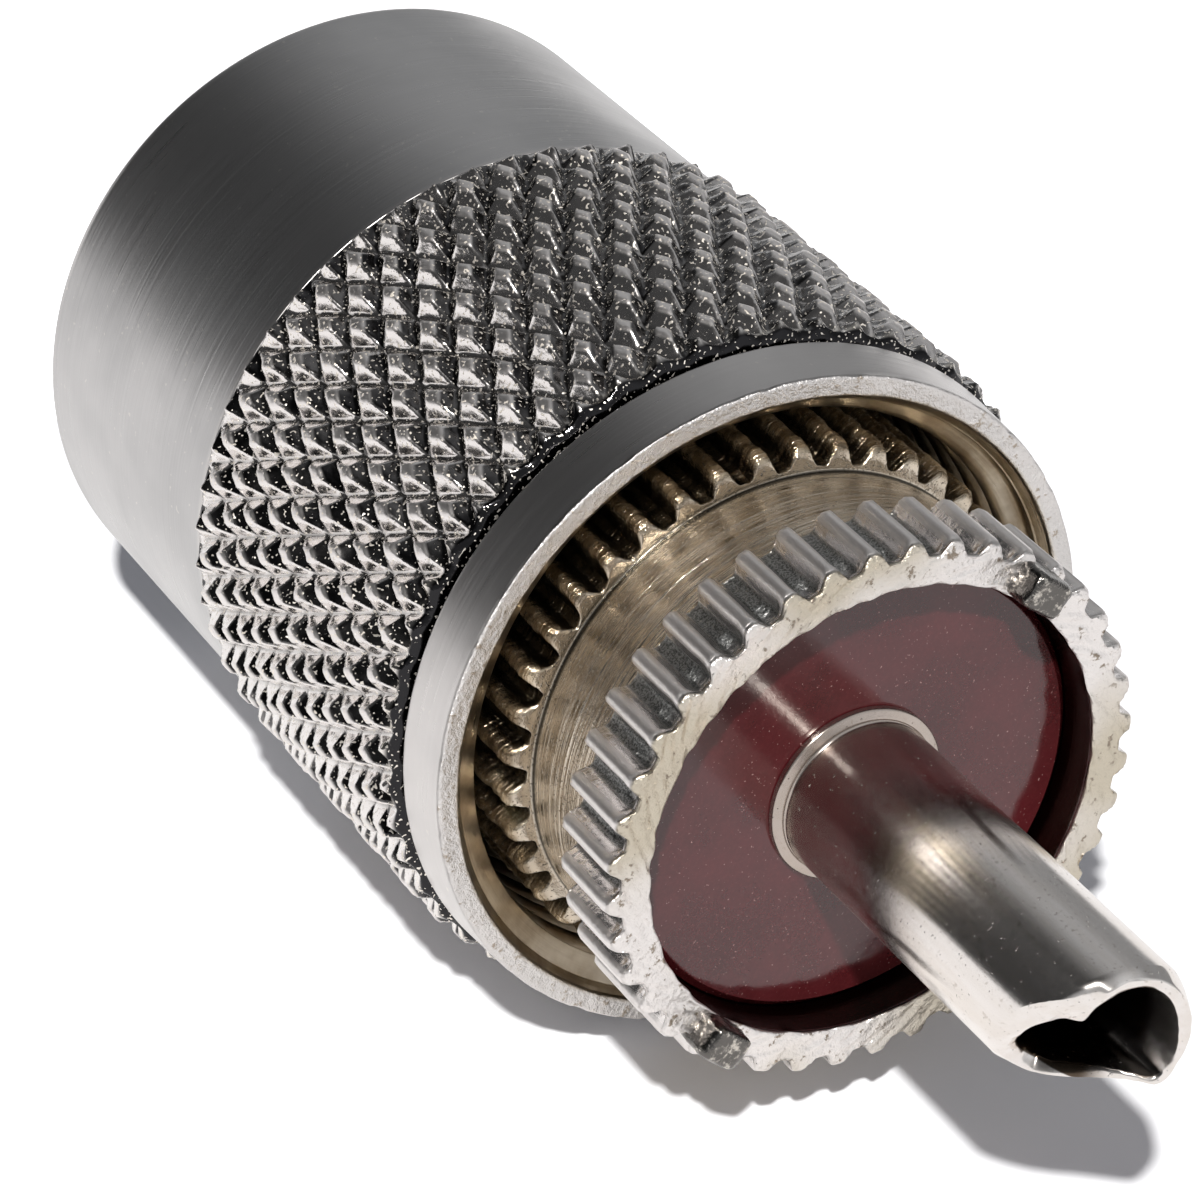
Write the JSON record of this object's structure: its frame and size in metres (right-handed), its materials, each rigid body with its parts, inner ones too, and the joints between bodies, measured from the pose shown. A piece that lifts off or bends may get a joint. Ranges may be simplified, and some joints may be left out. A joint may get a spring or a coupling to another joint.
{
  "type": "uhf coaxial plug connector",
  "caption": "Male coaxial plug with a knurled screw-on coupling nut, splined collar with index lugs, recessed insulator and hollow crimped contact pin.",
  "frame": {"origin": "middle of the plug body's rear rest face, which is the lowest point of the part", "axes": "+Z along the plug's axis towards the contact pin, +X through one index lug"},
  "size_m": [0.0182, 0.0182, 0.0381],
  "materials": {
    "nut_nickel": "satin nickel plate, turned",
    "body_nickel": "bright nickel plate",
    "phenolic": "dark red phenolic, semi-gloss",
    "pin_nickel": "bright nickel plate"
  },
  "bodies": {
    "plug": {"plug_body": "body_nickel", "insulator": "phenolic", "contact_pin": "pin_nickel"},
    "nut": {"coupling_nut": "nut_nickel"}
  },
  "joints": [
    {"name": "nut_spin", "type": "hinge", "parent": "plug", "child": "nut", "pos_m": [0, 0, 0.012], "axis": [0, 0, 1], "continuous": true}
  ]
}
